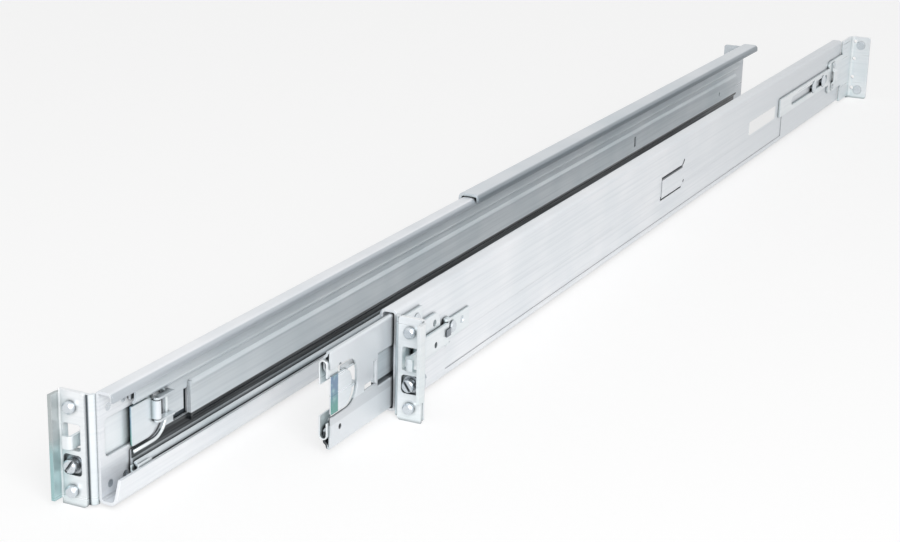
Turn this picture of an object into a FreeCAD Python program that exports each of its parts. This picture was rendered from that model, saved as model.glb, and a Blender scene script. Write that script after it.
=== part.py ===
"""A pair of ball-bearing slide rails for a 19 inch rack, one unit high.

Each rail is built in its own frame: u points outboard (away from the server), y points from the
front end to the rear, z is up, with u = 0 on the outer rail's outboard face, y = 0 at the outer
rail's front edge and z = 0 midway between the two pegs. The left rail is the mirror image, stands
beside the right one and reaches further forward, as the two lie side by side.
"""
import FreeCAD, Part
import math
import os

V = FreeCAD.Vector

# Rack standard: two pegs of one rack unit, and the plate that fits inside the unit.
PEG_SPACING = 31.75
PLATE_HEIGHT = 43.6

# Outer rail, a rolled channel that opens inboard.
SHEET = 1.2
RAIL_DEPTH = 7.5
RAIL_TOP = 22.3
RAIL_BOTTOM = -20.5
RAIL_REAR = 663.0
WEB_BEND = 1.2
UPPER_LIP = 3.6
LOWER_LIP = 9.0
LIP_SLANT = 3.0

# Middle rail, which runs in the outer rail on two rows of balls.
MID_SHEET = 1.0
MID_LENGTH = 690.0
MID_WEB_GAP = 0.35
SHOULDER_START = -6.0
SHOULDER_END = -60.0
SHOULDER_BEND = 0.8
LIP_STRAIGHT = 3.5
LIP_CURL = 45.0
LIP_CURL_BEND = 1.8
LIP_TIP = 1.0
BAND_HALF = 7.7
BAND_OFFSET = 1.4
BAND_BEND = 0.8
BAND_START = 36.0
LEFT_MID_FRONT = 17.0
RIGHT_MID_FRONT = -49.5

# Balls and their cages.
BALL_DIAMETER = 2.4
RACE_GAP = 0.06
CAGE_SHEET = 0.5
CAGE_GAP = 0.35
CAGE_ABOVE = 0.5
CAGE_BELOW = 2.2
CAGE_LENGTH = 280.0
CAGE_START = 210.0
BALLS_PER_ROW = 6
BALL_END_MARGIN = 10.0

# Front bracket: a leaf on the web and a flange, with a lipped plate in front of the flange.
BRACKET_SHEET = 1.5
BRACKET_LEAF = 19.4
BRACKET_LEAF_HALF = 19.0
BRACKET_BEND = 0.6
BRACKET_HALF = 20.9
BRACKET_WIDTH = 13.2
TONGUE_REAR = 36.0
TONGUE_Z = (-6.0, 12.0)
TONGUE_CORNER = 5.0
TONGUE_HOLE = 3.0
TONGUE_HOLE_Y = 31.0
TONGUE_HOLE_Z = 7.9
PLATE_SHEET = 1.5
PLATE_INNER = 2.6
PLATE_WIDTH = 14.6
PLATE_LIP = 4.4
PLATE_LIP_BEND = 0.8
PLATE_LIP_TOP = 20.6
PLATE_LIP_BOTTOM = {"right": -12.0, "left": -19.6}
PLATE_STEP = 1.6
PLATE_CORNER = 1.4
PEG_OFFSET = 8.1
PEG_DIAMETER = 4.6
PEG_LENGTH = 2.6
PEG_TIP = 0.7
PEG_NECK = 3.8
PEG_HEAD = 5.8
PEG_HEAD_THICK = 0.8

# Captive screw in a recess of the plate, under the latch hook.
SCREW_Z = -6.2
SCREW_DIAMETER = 4.0
SCREW_HEAD = 5.2
SCREW_HEAD_THICK = 3.6
SCREW_SLOT = 1.1
SCREW_SLOT_DEPTH = 1.1
SCREW_SLOT_TURN = 55.0
SCREW_CHAMFER = 0.5
SCREW_REACH = 8.0
SCREW_FIT = 0.08
RECESS_HALF = 3.9
RECESS_CORNER = 1.5
WASHER_DIAMETER = 7.2
WASHER_THICK = 0.5
NUT_DIAMETER = 8.6
NUT_THICK = 2.8

# Latch: a hook on an arm that swings on an upright pin beside the web.
LATCH_SHEET = 1.2
LATCH_FIT = 0.3
LATCH_PIN_Y = 41.5
LATCH_PIN = 1.0
LATCH_PIN_FIT = 0.05
LATCH_EYE = 2.2
LATCH_TOP = 5.3
LATCH_BOTTOM = -3.6
LATCH_STEP = 18.0
LATCH_HOOK_LOW = 0.4
LATCH_HOOK_OFFSET = 7.4
LATCH_HOOK_REACH = 3.0
LATCH_HOOK_SPAN = 2.6
LATCH_JOG_START = 11.0
LATCH_HOLE = 2.6
LATCH_HOLE_Y = 29.5
LATCH_HOLE_Z = -0.9
LATCH_SLOPE = 45.0
LATCH_BASE_SHEET = 1.0
LATCH_BASE_REAR = 65.0
LATCH_EAR = 1.0
LATCH_EAR_GAP = 0.3
LATCH_SPRING_SHEET = 0.4
LATCH_SPRING_HALF = 1.6
LATCH_SPRING_REACH = 3.7
LATCH_SPRING_SLOPE = 40.0
WINDOW_INNER = 4.4
WINDOW_OUTER = 11.8
WINDOW_LOW = -0.6
WINDOW_HIGH = 9.4
WINDOW_CORNER = 1.0

# Rivets.
RIVET_DIAMETER = 3.0
RIVET_HEAD = 5.2
RIVET_HEAD_THICK = 0.9
BASE_RIVETS = (48.0, 58.0)
BASE_RIVET_Z = 1.4
SINK_LOW = 2.6
SINK_HIGH = 3.6
SINK_DEPTH = 0.8
SINK_FILL = 0.35
LEAF_RIVET_Y = (5.5, 14.5)
LEAF_RIVET_Z = 14.6

# Marks and openings of the outer rail's web.
COIN_STEP = 0.35
COIN_TOP = -4.3
COIN_BOTTOM = -17.0
COIN_FRONT = 45.0
COIN_REAR = 527.0
FRONT_WINDOW = (3.0, 33.0)
FRONT_WINDOW_Z = (-4.0, 10.5)
FRONT_WINDOW_CORNER = 2.0
SHORT_SLOT = (19.9, 21.0)
SHORT_SLOT_Z = (12.9, 15.6)
BRIDGE_FRONT = 305.0
BRIDGE_REAR = 338.0
BRIDGE_UPPER_Z = 5.5
BRIDGE_LOWER_Z = -6.0
BRIDGE_SLOT = 1.5
BRIDGE_HOOK = 5.0
BRIDGE_RISE = 0.4

# Rear bracket: an arm that slides along the web to set the length, and the rear plate.
REAR_PLATE = 688.0
REAR_PULL = 47.0
REAR_SLIDE_GAP = 0.06
REAR_BEND = 2.0
REAR_WIDTH = 14.4
REAR_HALF = 21.8
REAR_CORNER = 1.6
REAR_HOLE = 2.4
REAR_HOLE_OFFSET = 4.0
REAR_HOLE_Z = (18.4, 6.2, -6.8, -14.6)
REAR_ARM = 170.0
REAR_ARM_TOP = 8.4
REAR_ARM_BOTTOM = -3.2
REAR_SIDE = 24.4
REAR_SIDE_BOTTOM = -20.5
REAR_ROOT = 57.0
REAR_ROOT_Z = (-9.0, 12.6)
REAR_ROOT_CORNER = 3.0
REAR_SLOT = (62.0, 146.0)
REAR_SLOT_Z = 2.6
GUIDE_DIAMETER = 5.0
GUIDE_HEAD = 8.0
GUIDE_HEAD_THICK = 0.9
GUIDE_FIT = 0.1
GUIDE_Y = (593.2, 616.0)
SLEEVE_LENGTH = 443.0
SLEEVE_BOTTOM = -10.4
SLEEVE_GAP = 0.4
SLEEVE_LIP = 3.2
SLEEVE_BEND = 0.9

# Riveted clip on the rear bracket, an upright bridge of bent strip.
CLIP_FRONT = 637.0
CLIP_REAR = 643.0
CLIP_SHEET = 0.8
CLIP_RIVETS_Z = (-5.6, 9.0)
CLIP_FOOT = 4.4
CLIP_RISE = 1.8
CLIP_SLOPE = 50.0
CLIP_BEND = 0.6
CLIP_RIVET = 2.0
CLIP_RIVET_HEAD = 3.2
CLIP_RIVET_THICK = 0.6

# Release lever on the middle rail, in the window behind its front edge.
LEVER_HOLE_REAR = 20.8
LEVER_HOLE_TOP = 13.4
LEVER_HOLE_BOTTOM = -6.0
LEVER_HOLE_CORNER = 8.0
LEVER_FRONT = 0.6
LEVER_REAR = 16.0
LEVER_CORNER = 6.4
LEVER_BOTTOM = -4.8
LEVER_TOP = 10.3
LEVER_PIN_Y = 14.0
LEVER_PIN = 1.4
LEVER_PIN_FIT = 0.06
LEVER_EYE = 3.0
LEVER_EYE_LOW = 1.6
LEVER_EYE_HIGH = 8.8
LEVER_EAR = 0.9
LEVER_EAR_GAP = 0.3
LEVER_EAR_ROOT = 2.4

# Smaller openings of the middle rail's web, measured from its front edge.
STOP_CUT = (26.2, 35.7)
STOP_CUT_Z = (-4.0, 6.2)
STOP_CUT_WIDTH = 2.6
CUT_PAST = 0.2
FRONT_HOLE_Y = 7.0
FRONT_HOLE = 2.2
FRONT_HOLE_Z = (13.2, -11.6)
MID_SLOT_Y = 499.0
MID_SLOT_WIDTH = 3.0
MID_SLOT_Z = (-1.2, 4.9)
MID_HOLE_Y = 654.7
MID_HOLE = 3.0

# The two rails as they lie.
RAIL_SPACING = 51.3
LEFT_ADVANCE = 127.5

# Worked out from the sizes above.
RAIL_MIDDLE = (RAIL_TOP + RAIL_BOTTOM) / 2
BALL_RADIUS = BALL_DIAMETER / 2
RACE_RADIUS = BALL_RADIUS + RACE_GAP
RACE_U = -(RAIL_DEPTH - SHEET - RACE_RADIUS)
RACE_UP = RAIL_TOP - SHEET - RACE_RADIUS - RAIL_MIDDLE
MID_FACE = -(SHEET + MID_WEB_GAP)
MID_INNER = MID_FACE - MID_SHEET
PEG_Z = PEG_SPACING / 2
CAGE_FACE = -(RAIL_DEPTH - SHEET) + CAGE_GAP
FLANGE_FACE = -(BRACKET_BEND + BRACKET_SHEET)
PLATE_FACE = FLANGE_FACE - PLATE_SHEET
LATCH_PIN_U = LATCH_EYE / 2 + LATCH_EAR_GAP
LATCH_ARM_U = BRACKET_SHEET + LATCH_FIT + LATCH_SHEET / 2
LATCH_BASE_LOW = LATCH_BOTTOM - LATCH_EAR_GAP - LATCH_EAR
LATCH_BASE_HIGH = LATCH_TOP + LATCH_EAR_GAP + LATCH_EAR


def block(u0, u1, y0, y1, z0, z1):
    """Box between two corners."""
    return Part.makeBox(u1 - u0, y1 - y0, z1 - z0, V(u0, y0, z0))


def rod(centre, axis, radius, length):
    """Round bar from a centre point along an axis."""
    return Part.makeCylinder(radius, length, V(*centre), V(*axis))


def strip_edges(start, heading, sheet, moves, point):
    """Outline edges of a bent sheet, walked along its centreline as runs and turns."""
    a, b = start
    angle = math.radians(heading)
    half = sheet / 2
    left = []
    right = []

    def beside(offset, pa, pb, direction):
        return point(pa - offset * math.sin(direction), pb + offset * math.cos(direction))

    for kind, size, radius in moves:
        if kind == "run":
            na = a + size * math.cos(angle)
            nb = b + size * math.sin(angle)
            left.append(Part.LineSegment(beside(half, a, b, angle), beside(half, na, nb, angle)).toShape())
            right.append(Part.LineSegment(beside(-half, a, b, angle), beside(-half, na, nb, angle)).toShape())
        else:
            turn = math.radians(size)
            way = 1 if turn > 0 else -1
            ca = a - way * radius * math.sin(angle)
            cb = b + way * radius * math.cos(angle)
            stops = [angle, angle + turn / 2, angle + turn]
            on_arc = [(ca + way * radius * math.sin(s), cb - way * radius * math.cos(s), s) for s in stops]
            left.append(Part.Arc(*[beside(half, *p) for p in on_arc]).toShape())
            right.append(Part.Arc(*[beside(-half, *p) for p in on_arc]).toShape())
            na, nb, angle = on_arc[2]
        a, b = na, nb
    caps = []
    for first, last in ((left[0].Vertexes[0].Point, right[0].Vertexes[0].Point),
                        (left[-1].Vertexes[-1].Point, right[-1].Vertexes[-1].Point)):
        caps.append(Part.LineSegment(first, last).toShape())
    return left + right + caps


def section_bar(start, heading, sheet, moves, y0, y1):
    """Bar along y with a bent-sheet section in the u-z plane."""
    edges = strip_edges(start, heading, sheet, moves, lambda a, b: V(a, y0, b))
    wire = Part.Wire(Part.__sortEdges__(edges))
    return Part.Face(wire).extrude(V(0, y1 - y0, 0))


def plan_bar(start, heading, sheet, moves, z0, z1):
    """Bent sheet drawn in plan, in the u-y plane, and standing from z0 to z1."""
    edges = strip_edges(start, heading, sheet, moves, lambda a, b: V(a, b, z0))
    wire = Part.Wire(Part.__sortEdges__(edges))
    return Part.Face(wire).extrude(V(0, 0, z1 - z0))


def round_window(y0, y1, z0, z1, u0, u1, radius):
    """Rectangular cutter along u with rounded corners."""
    shape = block(u0, u1, y0, y1, z0, z1)
    edges = [e for e in shape.Edges if abs(e.Vertexes[0].X - e.Vertexes[-1].X) > 0.01]
    return shape.makeFillet(radius, edges)


def slot_along_y(y0, y1, z, half, u0, u1):
    """Cutter along u for a slot with round ends."""
    shape = block(u0, u1, y0 + half, y1 - half, z - half, z + half)
    for y in (y0 + half, y1 - half):
        shape = shape.fuse(rod((u0, y, z), (1, 0, 0), half, u1 - u0))
    return shape.removeSplitter()


def outer_rail(bridge):
    """Channel with a short upper lip, a tall lower lip and round corners that guide the balls."""
    race_bend = RACE_RADIUS + SHEET / 2
    start = (-(RAIL_DEPTH - SHEET / 2), RAIL_BOTTOM + LOWER_LIP)
    flange = RAIL_DEPTH - SHEET / 2 - race_bend - SHEET / 2 - WEB_BEND
    straight = RAIL_TOP - RAIL_BOTTOM - SHEET - 2 * WEB_BEND
    moves = [("run", LOWER_LIP - SHEET / 2 - race_bend, 0), ("turn", 90, race_bend), ("run", flange, 0),
             ("turn", 90, WEB_BEND), ("run", straight, 0), ("turn", 90, WEB_BEND), ("run", flange, 0),
             ("turn", 90, race_bend), ("run", UPPER_LIP - SHEET / 2 - race_bend, 0)]
    rail = section_bar(start, 270, SHEET, moves, 0, RAIL_REAR)
    cutters = [lip_slant(), web_cut(FRONT_WINDOW, FRONT_WINDOW_Z, FRONT_WINDOW_CORNER)]
    cutters.append(block(-COIN_STEP, 1, COIN_FRONT, COIN_REAR, COIN_BOTTOM, COIN_TOP))
    cutters.append(block(-SHEET - 1, 1, *SHORT_SLOT, *SHORT_SLOT_Z))
    for y in LEAF_RIVET_Y:
        cutters += [rivet_hole(y, LEAF_RIVET_Z), rivet_hole(y, -LEAF_RIVET_Z)]
    cutters.append(rivet_hole(BASE_RIVETS[0], BASE_RIVET_Z))
    cutters.append(rod((-SHEET - 1, BASE_RIVETS[1], BASE_RIVET_Z), (1, 0, 0), SINK_LOW / 2, SHEET + 2))
    cutters += [rivet_hole(y, REAR_SLOT_Z) for y in GUIDE_Y]
    rail = rail.cut(cutters)
    if bridge:
        low = BRIDGE_LOWER_Z + BRIDGE_SLOT / 2
        high = BRIDGE_UPPER_Z - BRIDGE_SLOT / 2
        rise = block(0, BRIDGE_RISE, BRIDGE_FRONT, BRIDGE_REAR, low, high)
        level = block(-COIN_STEP, 0, BRIDGE_FRONT, BRIDGE_REAR, low, COIN_TOP)
        rail = rail.cut(bridge_slots()).fuse([rise, level])
    return rail.removeSplitter()


def lip_slant():
    """Cutter that slopes the front of the lower lip down to the flange."""
    low = RAIL_BOTTOM + SHEET
    high = RAIL_BOTTOM + LOWER_LIP
    corners = [(-1, low), (0, low), (LIP_SLANT, high), (LIP_SLANT, high + 1), (-1, high + 1)]
    face = Part.Face(Part.makePolygon([V(-RAIL_DEPTH - 1, y, z) for y, z in corners + corners[:1]]))
    return face.extrude(V(RACE_RADIUS + SHEET + 1, 0, 0))


def web_cut(span, height, corner):
    """Rounded opening through the outer rail's web."""
    return round_window(*span, *height, -SHEET - 1, 1, corner)


def rivet_hole(y, z):
    """Rivet hole through the outer rail's web."""
    return rod((-SHEET - 1, y, z), (1, 0, 0), RIVET_DIAMETER / 2, SHEET + 2)


def bridge_slots():
    """Two lanced slots whose rear ends turn up, either side of the raised bridge."""
    slots = []
    for z in (BRIDGE_UPPER_Z, BRIDGE_LOWER_Z):
        slots.append(block(-SHEET - 1, 1, BRIDGE_FRONT, BRIDGE_REAR, z - BRIDGE_SLOT / 2, z + BRIDGE_SLOT / 2))
        hook = block(-SHEET - 1, 1, 0, BRIDGE_HOOK, -BRIDGE_SLOT / 2, BRIDGE_SLOT / 2)
        hook.rotate(V(0, 0, 0), V(1, 0, 0), 40)
        hook.translate(V(0, BRIDGE_REAR - BRIDGE_SLOT / 2, z))
        slots.append(hook)
    return slots[0].fuse(slots[1:])


def middle_moves(banded):
    """Runs and turns of the middle rail's section, from its lower lip to its upper one."""
    arc = RACE_RADIUS + MID_SHEET / 2
    start_angle = math.radians(SHOULDER_START)
    web_u = MID_FACE - MID_SHEET / 2
    fold_turn = 180 + SHOULDER_START
    fold = (web_u - RACE_U - arc * math.cos(start_angle)) / (1 - math.cos(math.radians(fold_turn)))
    fold_z = RACE_UP + arc * math.sin(start_angle) - fold * math.sin(math.radians(fold_turn))
    upper = [("turn", fold_turn, fold), ("turn", SHOULDER_END - SHOULDER_START, arc),
             ("turn", -SHOULDER_END, SHOULDER_BEND), ("run", LIP_STRAIGHT, 0), ("turn", LIP_CURL, LIP_CURL_BEND),
             ("run", LIP_TIP, 0)]
    if not banded:
        return upper[::-1] + [("run", 2 * fold_z, 0)] + upper
    slope = math.radians(45)
    ramp = (BAND_OFFSET - 2 * BAND_BEND * (1 - math.cos(slope))) / math.sin(slope)
    ramp_rise = 2 * BAND_BEND * math.sin(slope) + ramp * math.cos(slope)
    side = ("run", fold_z - BAND_HALF, 0)
    rise = [("turn", 45, BAND_BEND), ("run", ramp, 0), ("turn", -45, BAND_BEND)]
    fall = [("turn", -45, BAND_BEND), ("run", ramp, 0), ("turn", 45, BAND_BEND)]
    flat = ("run", 2 * (BAND_HALF - ramp_rise), 0)
    return upper[::-1] + [side] + rise + [flat] + fall + [side] + upper


def middle_start():
    """Where the section's walk begins: the tip of the lower lip, and its heading."""
    arc = RACE_RADIUS + MID_SHEET / 2
    end = math.radians(SHOULDER_END)
    heading = math.radians(90 + 180 + SHOULDER_START + SHOULDER_END - SHOULDER_START)
    straight = heading - end
    u = RACE_U + arc * math.cos(end) + SHOULDER_BEND * (math.sin(straight) - math.sin(heading))
    z = RACE_UP + arc * math.sin(end) + SHOULDER_BEND * (math.cos(heading) - math.cos(straight))
    z = z - LIP_STRAIGHT
    curled = straight + math.radians(LIP_CURL)
    u = u + LIP_CURL_BEND * (math.sin(curled) - math.sin(straight)) + LIP_TIP * math.cos(curled)
    z = z + LIP_CURL_BEND * (math.cos(straight) - math.cos(curled)) + LIP_TIP * math.sin(curled)
    return (u, RAIL_MIDDLE - z), 180 - math.degrees(curled)


def middle_rail(front):
    """Middle rail with its raised band, the notch for the lever, the lever's ears and its openings."""
    start, heading = middle_start()
    plain = section_bar(start, heading, MID_SHEET, middle_moves(False), front, front + BAND_START)
    banded = section_bar(start, heading, MID_SHEET, middle_moves(True), front + BAND_START, front + MID_LENGTH)
    low = RAIL_MIDDLE - BAND_HALF
    high = RAIL_MIDDLE + BAND_HALF
    wall = block(MID_INNER - BAND_OFFSET, MID_FACE, front + BAND_START, front + BAND_START + MID_SHEET, low, high)
    rail = plain.fuse([banded, wall])
    inner = MID_INNER - BAND_OFFSET - CUT_PAST
    across = MID_FACE + 1 - inner
    cutters = [round_window(front - 2 * LEVER_HOLE_CORNER, front + LEVER_HOLE_REAR, LEVER_HOLE_BOTTOM,
                            LEVER_HOLE_TOP, MID_INNER - CUT_PAST, MID_FACE + 1, LEVER_HOLE_CORNER)]
    y0, y1 = front + STOP_CUT[0], front + STOP_CUT[1]
    z0, z1 = STOP_CUT_Z
    cutters.append(block(inner, MID_FACE + 1, y1 - STOP_CUT_WIDTH, y1, z0, z1))
    cutters.append(block(inner, MID_FACE + 1, y0, y1, z0, z0 + STOP_CUT_WIDTH))
    cutters += [rod((inner, front + FRONT_HOLE_Y, z), (1, 0, 0), FRONT_HOLE / 2, across) for z in FRONT_HOLE_Z]
    slot_y = front + MID_SLOT_Y
    cutters.append(block(inner, MID_FACE + 1, slot_y, slot_y + MID_SLOT_WIDTH, *MID_SLOT_Z))
    cutters.append(rod((inner, front + MID_HOLE_Y, RAIL_MIDDLE), (1, 0, 0), MID_HOLE / 2, across))
    return rail.cut(cutters).fuse(lever_ears(front)).removeSplitter()


def lever_ears(front):
    """Two ears that stand in from the middle rail's web and hold the lever's pin."""
    ear_u = MID_INNER - LEVER_EYE / 2
    radius = LEVER_EYE / 2 - 0.1
    pin_y = front + LEVER_PIN_Y
    root_y = front + LEVER_HOLE_REAR
    ears = []
    for z in (LEVER_EYE_HIGH + LEVER_EAR_GAP, LEVER_EYE_LOW - LEVER_EAR_GAP - LEVER_EAR):
        arm = block(ear_u - radius, ear_u + radius, pin_y, root_y + LEVER_EAR_ROOT, z, z + LEVER_EAR)
        root = block(ear_u, MID_INNER, root_y + 1, root_y + LEVER_EAR_ROOT, z, z + LEVER_EAR)
        eye = rod((ear_u, pin_y, z), (0, 0, 1), radius, LEVER_EAR)
        hole = rod((ear_u, pin_y, z), (0, 0, 1), LEVER_PIN / 2, LEVER_EAR)
        ears.append(arm.fuse([eye, root]).cut(hole))
    return ears


def release_lever(front):
    """Flat lever plate in the middle rail's notch, round at its rear, with an eye for the upright pin."""
    plate = round_window(front - 2 * LEVER_CORNER, front + LEVER_REAR, LEVER_BOTTOM, LEVER_TOP, MID_INNER,
                         MID_FACE, LEVER_CORNER)
    plate = plate.common(block(MID_INNER, MID_FACE, front + LEVER_FRONT, front + LEVER_REAR, LEVER_BOTTOM,
                               LEVER_TOP))
    eye_u = MID_INNER - LEVER_EYE / 2
    pin_y = front + LEVER_PIN_Y
    tall = LEVER_EYE_HIGH - LEVER_EYE_LOW
    eye = rod((eye_u, pin_y, LEVER_EYE_LOW), (0, 0, 1), LEVER_EYE / 2, tall)
    root = block(eye_u, MID_INNER, pin_y - LEVER_EYE / 2, pin_y, LEVER_EYE_LOW, LEVER_EYE_HIGH)
    bore = rod((eye_u, pin_y, LEVER_EYE_LOW - 1), (0, 0, 1), LEVER_PIN / 2 + LEVER_PIN_FIT, tall + 2)
    return plate.fuse([eye, root]).cut(bore).removeSplitter()


def release_pin(front):
    """Upright pin of the release lever."""
    low = LEVER_EYE_LOW - LEVER_EAR_GAP - LEVER_EAR
    high = LEVER_EYE_HIGH + LEVER_EAR_GAP + LEVER_EAR
    return rod((MID_INNER - LEVER_EYE / 2, front + LEVER_PIN_Y, low), (0, 0, 1), LEVER_PIN / 2, high - low)


def race_height(row):
    """Height of a row's ball centres, row being 1 for the upper one and -1 for the lower."""
    return RAIL_MIDDLE + row * RACE_UP


def ball_places(cage_front):
    """Where the balls sit along a cage."""
    pitch = (CAGE_LENGTH - 2 * BALL_END_MARGIN) / (BALLS_PER_ROW - 1)
    return [cage_front + BALL_END_MARGIN + i * pitch for i in range(BALLS_PER_ROW)]


def ball_row(row, cage_front):
    """One row of loose balls."""
    return Part.makeCompound([Part.makeSphere(BALL_RADIUS, V(RACE_U, y, race_height(row)))
                              for y in ball_places(cage_front)])


def ball_cage(row, cage_front):
    """Strip between the two rails' lips, with a pocket for each ball."""
    z = race_height(row)
    ends = sorted((z + row * CAGE_ABOVE, z - row * CAGE_BELOW))
    strip = block(CAGE_FACE, CAGE_FACE + CAGE_SHEET, cage_front, cage_front + CAGE_LENGTH, ends[0], ends[1])
    for y in ball_places(cage_front):
        strip = strip.cut(Part.makeSphere(BALL_RADIUS + RACE_GAP, V(RACE_U, y, z)))
    return strip


def post_window(y0, y1):
    """Cutter along y for the latch's window."""
    window = block(WINDOW_INNER, WINDOW_OUTER, y0, y1, WINDOW_LOW, WINDOW_HIGH)
    edges = [e for e in window.Edges if abs(e.Vertexes[0].Y - e.Vertexes[-1].Y) > 0.01]
    return window.makeFillet(WINDOW_CORNER, edges)


def front_bracket():
    """Angle riveted to the outer rail: a leaf on its web and a flange behind the front plate."""
    bend = BRACKET_BEND + BRACKET_SHEET / 2
    start = (BRACKET_SHEET / 2, BRACKET_LEAF)
    flange_y = FLANGE_FACE + BRACKET_SHEET / 2
    moves = [("run", BRACKET_LEAF - flange_y - bend, 0), ("turn", 90, bend),
             ("run", BRACKET_WIDTH - start[0] - bend, 0)]
    shape = plan_bar(start, 270, BRACKET_SHEET, moves, -BRACKET_HALF, BRACKET_HALF)
    trims = [block(-1, BRACKET_SHEET + 1, BRACKET_BEND, BRACKET_LEAF + 1, BRACKET_LEAF_HALF, BRACKET_HALF + 1),
             block(-1, BRACKET_SHEET + 1, BRACKET_BEND, BRACKET_LEAF + 1, -BRACKET_HALF - 1, -BRACKET_LEAF_HALF)]
    tongue = round_window(0, TONGUE_REAR, *TONGUE_Z, 0, BRACKET_SHEET, TONGUE_CORNER)
    tongue = tongue.common(block(0, BRACKET_SHEET, BRACKET_LEAF - 1, TONGUE_REAR, *TONGUE_Z))
    trims.append(rod((-1, TONGUE_HOLE_Y, TONGUE_HOLE_Z), (1, 0, 0), TONGUE_HOLE / 2, BRACKET_SHEET + 2))
    back = FLANGE_FACE + BRACKET_SHEET
    depth = BRACKET_SHEET + 2
    trims.append(post_window(FLANGE_FACE - 1, back + 1))
    for z in (PEG_Z, -PEG_Z):
        trims.append(rod((PEG_OFFSET, FLANGE_FACE - 1, z), (0, 1, 0), PEG_NECK / 2, depth))
    trims.append(rod((PEG_OFFSET, FLANGE_FACE - 1, SCREW_Z), (0, 1, 0), SCREW_DIAMETER / 2 + SCREW_FIT, depth))
    for y in LEAF_RIVET_Y:
        trims += [rod((-1, y, z), (1, 0, 0), RIVET_DIAMETER / 2, depth) for z in (LEAF_RIVET_Z, -LEAF_RIVET_Z)]
    return shape.fuse(tongue).cut(trims).removeSplitter()


def front_plate(side):
    """Plate that meets the rack post, with a lip turned forward along its outboard edge."""
    bend = PLATE_LIP_BEND + PLATE_SHEET / 2
    half = PLATE_HEIGHT / 2
    y = PLATE_FACE + PLATE_SHEET / 2
    moves = [("run", PLATE_WIDTH - PLATE_INNER - PLATE_SHEET / 2 - bend, 0), ("turn", -90, bend),
             ("run", PLATE_LIP + PLATE_SHEET / 2 - bend, 0)]
    shape = plan_bar((PLATE_INNER, y), 0, PLATE_SHEET, moves, -half, half)
    edge = PLATE_WIDTH - PLATE_STEP
    front = PLATE_FACE - PLATE_LIP - 1
    back = FLANGE_FACE + 1
    cutters = [block(edge, PLATE_WIDTH + 1, front, back, -half - 1, PLATE_LIP_BOTTOM[side]),
               block(edge, PLATE_WIDTH + 1, front, back, PLATE_LIP_TOP, half + 1),
               block(0, PLATE_WIDTH + 1, front, PLATE_FACE, -half - 1, PLATE_LIP_BOTTOM[side]),
               post_window(PLATE_FACE - 1, back),
               screw_recess(PLATE_FACE - 1, back)]
    for z in (PEG_Z, -PEG_Z):
        cutters.append(rod((PEG_OFFSET, PLATE_FACE - 1, z), (0, 1, 0), PEG_NECK / 2, PLATE_SHEET + 2))
    shape = shape.cut(cutters).removeSplitter()
    corners = [e for e in shape.Edges if upright_corner(e, PLATE_INNER, half)]
    return shape.makeFillet(PLATE_CORNER, corners)


def screw_recess(y0, y1):
    """Cutter along y for the square opening round the screw's head."""
    recess = block(PEG_OFFSET - RECESS_HALF, PEG_OFFSET + RECESS_HALF, y0, y1, SCREW_Z - RECESS_HALF,
                   SCREW_Z + RECESS_HALF)
    edges = [e for e in recess.Edges if abs(e.Vertexes[0].Y - e.Vertexes[-1].Y) > 0.01]
    return recess.makeFillet(RECESS_CORNER, edges)


def upright_corner(edge, u, half):
    """True for a short edge along y at a plate's top or bottom inboard corner."""
    first = edge.Vertexes[0].Point
    last = edge.Vertexes[-1].Point
    along = abs(first.y - last.y) > 0.01 and abs(first.x - last.x) < 0.01 and abs(first.z - last.z) < 0.01
    return along and abs(first.x - u) < 0.01 and abs(abs(first.z) - half) < 0.01


def turned(profile, centre, axis):
    """Solid of revolution about an axis through a centre, from (distance, radius) points."""
    along = V(*axis)
    across = V(0, 0, 1) if abs(axis[2]) < 0.5 else V(1, 0, 0)
    base = V(*centre)
    corners = [(profile[0][0], 0)] + list(profile) + [(profile[-1][0], 0)]
    points = [base + along * d + across * r for d, r in corners]
    face = Part.Face(Part.makePolygon(points + [points[0]]))
    return face.revolve(base, along, 360)


def pegs(face, stack):
    """Two headed pegs staked through a stack of sheet, from its front face forward."""
    out = []
    tail = -stack - PEG_HEAD_THICK
    for z in (PEG_Z, -PEG_Z):
        profile = [(tail, PEG_HEAD / 2 - PEG_HEAD_THICK / 2), (tail + PEG_HEAD_THICK / 2, PEG_HEAD / 2),
                   (-stack, PEG_HEAD / 2), (-stack, PEG_NECK / 2), (0, PEG_NECK / 2), (0, PEG_DIAMETER / 2),
                   (PEG_LENGTH - PEG_TIP, PEG_DIAMETER / 2), (PEG_LENGTH, PEG_DIAMETER / 2 - PEG_TIP)]
        out.append(turned(profile, (PEG_OFFSET, face, z), (0, -1, 0)))
    return Part.makeCompound(out)


def rivet(u_tail, u_face, y, z, shank=RIVET_DIAMETER, head=RIVET_HEAD, thick=RIVET_HEAD_THICK, grip=None):
    """Rivet along u: flush tail at u_tail, low head on u_face, and a wider shoulder if it guides."""
    profile = [(u_tail, shank / 2)]
    if grip:
        profile += [(0, shank / 2), (0, grip / 2)]
        shank = grip
    profile += [(u_face, shank / 2), (u_face, head / 2), (u_face + thick * 0.4, head / 2),
                (u_face + thick, head / 2 - thick * 0.6)]
    return turned(profile, (0, y, z), (1, 0, 0))


def leaf_rivets():
    """Four rivets of the front bracket's leaf."""
    return Part.makeCompound([rivet(-SHEET, BRACKET_SHEET, y, z)
                              for y in LEAF_RIVET_Y for z in (LEAF_RIVET_Z, -LEAF_RIVET_Z)])


def screw_washer():
    """Washer under the screw's head, in the plate's recess."""
    ring = rod((PEG_OFFSET, FLANGE_FACE - WASHER_THICK, SCREW_Z), (0, 1, 0), WASHER_DIAMETER / 2, WASHER_THICK)
    bore = rod((PEG_OFFSET, FLANGE_FACE - 1, SCREW_Z), (0, 1, 0), SCREW_DIAMETER / 2 + SCREW_FIT, 2)
    return ring.cut(bore)


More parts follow.
